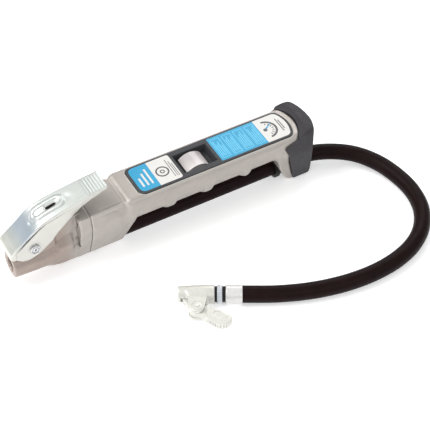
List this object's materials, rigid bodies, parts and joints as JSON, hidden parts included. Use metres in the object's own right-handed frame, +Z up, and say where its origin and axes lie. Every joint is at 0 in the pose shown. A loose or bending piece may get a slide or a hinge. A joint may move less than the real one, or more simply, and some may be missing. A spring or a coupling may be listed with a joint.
{
  "type": "tyre inflator with gauge",
  "caption": "Hand-held tyre inflator: cast body, trigger lever over the air inlet, sliding-scale gauge under a lens, rubber end cap, and a whip hose with a clip-on valve connector.",
  "frame": {"origin": "centre of the body's footprint, on the surface it rests on; the body is taken without the hose and connector", "axes": "+X along the body from the air inlet to the tail, +Z up through the handle's flat top, -Y towards the side the hose loops round"},
  "size_m": [0.3527, 0.1744, 0.0795],
  "materials": {
    "casting": "satin die-cast alloy, warm silver-grey coating",
    "nose_casting": "satin die-cast alloy, warm grey coating",
    "zinc_plate": "bright zinc plate on pressed steel",
    "steel": "plain bright steel",
    "brass": "machined",
    "black_plastic": "fine satin texture",
    "label_print": "printed polyester film, satin",
    "lens_clear": "clear moulded lens",
    "scale_white": "satin, with printed scale",
    "cap_rubber": "matt moulded rubber",
    "seal_rubber": "matt",
    "hose_rubber": "smooth extruded rubber, low sheen",
    "die_cast": "bright die-cast, satin",
    "bright_ferrule": "bright plated"
  },
  "bodies": {
    "inflator": {"handle_casting": "casting", "valve_body": "nose_casting", "body_gasket": "seal_rubber", "valve_body_screws": "steel", "inlet_filter": "brass", "gallery_plug": "seal_rubber", "lever_rivet": "steel", "plunger_guides": "brass", "inflate_spring": "steel", "deflate_spring": "steel", "gauge_cylinder": "brass", "gauge_spring": "steel", "gauge_end_plug": "brass", "bezel_strip": "black_plastic", "label_front": "label_print", "label_rear": "label_print", "lens": "lens_clear", "lens_gasket": "seal_rubber", "end_cap": "cap_rubber", "end_cap_screws": "steel", "hose_grommet": "seal_rubber", "hose_tail": "brass", "hose_ferrule": "steel", "hose": "hose_rubber", "connector_tail": "steel", "connector_ferrule": "bright_ferrule", "connector_rings": "seal_rubber", "connector_collar": "bright_ferrule", "connector_body": "die_cast", "valve_washer": "seal_rubber", "valve_probe": "brass", "thumb_pin": "steel", "thumb_spring": "steel"},
    "lever": {"trigger_lever": "zinc_plate"},
    "inflate_valve": {"inflate_plunger": "steel", "inflate_seal": "seal_rubber"},
    "deflate_valve": {"deflate_plunger": "steel", "deflate_seal": "seal_rubber"},
    "gauge_slide": {"gauge_piston": "brass", "piston_seal": "seal_rubber", "scale_barrel": "scale_white"},
    "thumb": {"thumb_lever": "die_cast"}
  },
  "joints": [
    {"name": "lever_hinge", "type": "hinge", "parent": "inflator", "child": "lever", "pos_m": [-0.1255, 0, 0.041], "axis": [0, 1, 0], "range_deg": [0, 6], "stiffness_Nm_per_rad": 1.5, "springref_deg": -5.73},
    {"name": "inflate_slide", "type": "slide", "parent": "inflator", "child": "inflate_valve", "axis": [0, 0, -1], "range_m": [0, 0.0055], "deforming": ["inflate_spring"]},
    {"name": "deflate_slide", "type": "slide", "parent": "inflator", "child": "deflate_valve", "axis": [0, 0, -1], "range_m": [0, 0.0045], "deforming": ["deflate_spring"]},
    {"name": "gauge_travel", "type": "slide", "parent": "inflator", "child": "gauge_slide", "axis": [1, 0, 0], "range_m": [0, 0.056], "stiffness_N_per_m": 1360, "deforming": ["gauge_spring"]},
    {"name": "thumb_hinge", "type": "hinge", "parent": "inflator", "child": "thumb", "pos_m": [-0.02874, -0.10778, 0.008], "axis": [0, 0, 1], "range_deg": [0, 14], "stiffness_Nm_per_rad": 0.3, "springref_deg": -5.73}
  ],
  "couplings": [
    {"joint": "inflate_slide", "follows": "lever_hinge", "m_per_rad": 0.0465},
    {"joint": "deflate_slide", "follows": "lever_hinge", "m_per_rad": 0.0357}
  ]
}
